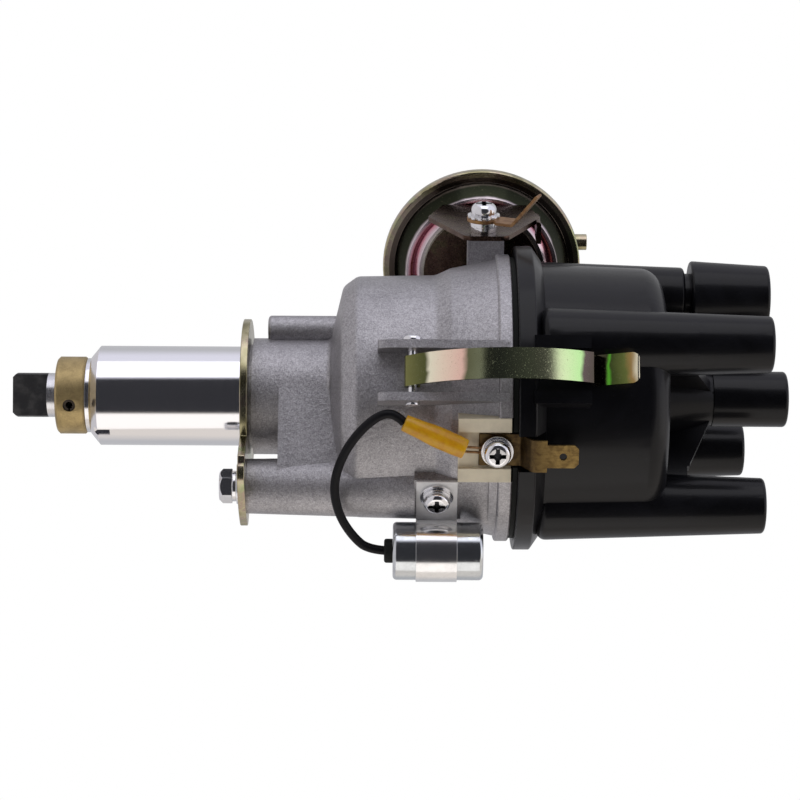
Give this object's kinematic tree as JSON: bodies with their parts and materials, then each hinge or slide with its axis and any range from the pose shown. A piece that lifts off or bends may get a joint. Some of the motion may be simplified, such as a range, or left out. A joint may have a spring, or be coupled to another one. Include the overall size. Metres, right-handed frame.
{
  "type": "ignition distributor",
  "caption": "Contact-breaker ignition distributor with vacuum advance unit, condenser, spring clips, clamp plate and towered cap.",
  "frame": {"origin": "shaft axis at the lower face of the clamp plate", "axes": "+Z along the shaft towards the cap, -Y towards the terminal side that the picture faces"},
  "size_m": [0.1139, 0.1083, 0.2102],
  "materials": {
    "cast_aluminium": "as-cast, machined bright on the shank and faces",
    "bright_steel": "bright zinc or ground steel",
    "yellow_zinc": "yellow passivated zinc, iridescent",
    "black_steel": "black oxide",
    "brown_steel": "bronze-brown passivated",
    "bakelite": "black moulded phenolic, satin",
    "brass": "aged",
    "bronze": "sintered",
    "rubber": "matt",
    "ivory_plastic": "moulded, satin",
    "amber_sleeve": "soft vinyl",
    "wire_black": "vinyl insulation",
    "carbon": "sintered carbon",
    "fibre": "laminated fibre",
    "brown_phenolic": "moulded phenolic"
  },
  "bodies": {
    "distributor_body": {"housing": "cast_aluminium", "lower_bush": "bronze", "upper_bush": "bronze", "thrust_washer": "bright_steel", "clamp_bolt": "bright_steel", "clamp_washers": "bright_steel", "cap_gasket": "rubber", "cap": "bakelite", "cap_towers": "bakelite", "plug_electrodes": "brass", "centre_contact": "brass", "brush_spring": "bright_steel", "base_plate": "yellow_zinc", "terminal_block": "ivory_plastic", "terminal_blade": "brass", "ring_terminal": "brass", "crimp_sleeve": "amber_sleeve", "terminal_screw": "bright_steel", "terminal_washers": "bright_steel", "condenser_can": "bright_steel", "condenser_grommet": "rubber", "condenser_strap": "bright_steel", "condenser_screw": "bright_steel", "condenser_washers": "bright_steel", "condenser_lead": "wire_black", "vacuum_front_shell": "yellow_zinc", "vacuum_rear_shell": "yellow_zinc", "vacuum_port": "yellow_zinc", "diaphragm": "rubber", "vacuum_spring": "bright_steel", "vacuum_bracket": "yellow_zinc", "vacuum_screw": "bright_steel", "vacuum_washers": "bright_steel", "earth_tab": "brass", "front_clip_pin": "bright_steel", "rear_clip_pin": "bright_steel"},
    "shaft": {"drive_shaft": "black_steel", "drive_collar": "brown_steel", "collar_pin": "black_steel", "governor_plate": "yellow_zinc", "governor_springs": "bright_steel", "cam_screw": "bright_steel"},
    "weight_a": {"governor_weight_a": "bright_steel"},
    "weight_b": {"governor_weight_b": "bright_steel"},
    "cam_and_rotor": {"cam_spindle": "bright_steel", "rotor_arm": "brown_phenolic", "rotor_electrode": "brass"},
    "breaker": {"breaker_plate": "yellow_zinc", "fixed_contact": "yellow_zinc", "contact_screw": "bright_steel"},
    "contact_arm": {"breaker_arm": "yellow_zinc", "rubbing_block": "fibre", "arm_spring": "bright_steel"},
    "pull_rod": {"vacuum_rod": "yellow_zinc"},
    "front_clip": {"front_clip": "yellow_zinc"},
    "rear_clip": {"rear_clip": "yellow_zinc"},
    "brush": {"carbon_brush": "carbon"},
    "clamp_plate": {"clamp_plate": "yellow_zinc"}
  },
  "joints": [
    {"name": "shaft_spin", "type": "hinge", "parent": "distributor_body", "child": "shaft", "pos_m": [0, 0, 0], "axis": [0, 0, 1], "continuous": true},
    {"name": "centrifugal_advance", "type": "hinge", "parent": "shaft", "child": "cam_and_rotor", "pos_m": [0, 0, 0.06], "axis": [0, 0, 1], "range_deg": [0, 10.5], "stiffness_Nm_per_rad": 0.05, "deforming": ["governor_springs"]},
    {"name": "weight_a_swing", "type": "hinge", "parent": "shaft", "child": "weight_a", "pos_m": [0.01691, 0.00616, 0.038], "axis": [0, 0, -1], "range_deg": [0, 13.2]},
    {"name": "weight_b_swing", "type": "hinge", "parent": "shaft", "child": "weight_b", "pos_m": [-0.01691, -0.00616, 0.038], "axis": [0, 0, -1], "range_deg": [0, 13.2]},
    {"name": "vacuum_advance", "type": "hinge", "parent": "distributor_body", "child": "breaker", "pos_m": [0, 0, 0.06], "axis": [0, 0, -1], "range_deg": [0, 8], "stiffness_Nm_per_rad": 0.45},
    {"name": "vacuum_pull", "type": "slide", "parent": "distributor_body", "child": "pull_rod", "axis": [-0.342, 0.9397, 0], "range_m": [0, 0.00316], "deforming": ["vacuum_spring"]},
    {"name": "points_open", "type": "hinge", "parent": "breaker", "child": "contact_arm", "pos_m": [0.01396, 0.01871, 0.067], "axis": [0, 0, 1], "range_deg": [0, 3], "stiffness_Nm_per_rad": 0.3},
    {"name": "front_clip_swing", "type": "hinge", "parent": "distributor_body", "child": "front_clip", "pos_m": [-0.00648, -0.03602, 0.0457], "axis": [0.9842, -0.1771, 0], "range_deg": [0, 95]},
    {"name": "rear_clip_swing", "type": "hinge", "parent": "distributor_body", "child": "rear_clip", "pos_m": [0.00648, 0.03602, 0.0457], "axis": [-0.9842, 0.1771, 0], "range_deg": [0, 95]},
    {"name": "brush_travel", "type": "slide", "parent": "distributor_body", "child": "brush", "axis": [0, 0, 1], "range_m": [0, 0.0015], "stiffness_N_per_m": 120, "deforming": ["brush_spring"]},
    {"name": "timing_adjust", "type": "hinge", "parent": "distributor_body", "child": "clamp_plate", "pos_m": [0, 0, 0], "axis": [0, 0, 1], "range_deg": [-10, 10]}
  ],
  "couplings": [
    {"joint": "weight_a_swing", "follows": "centrifugal_advance", "ratio": 1.25},
    {"joint": "weight_b_swing", "follows": "centrifugal_advance", "ratio": 1.25},
    {"joint": "vacuum_pull", "follows": "vacuum_advance", "m_per_rad": 0.0226}
  ]
}
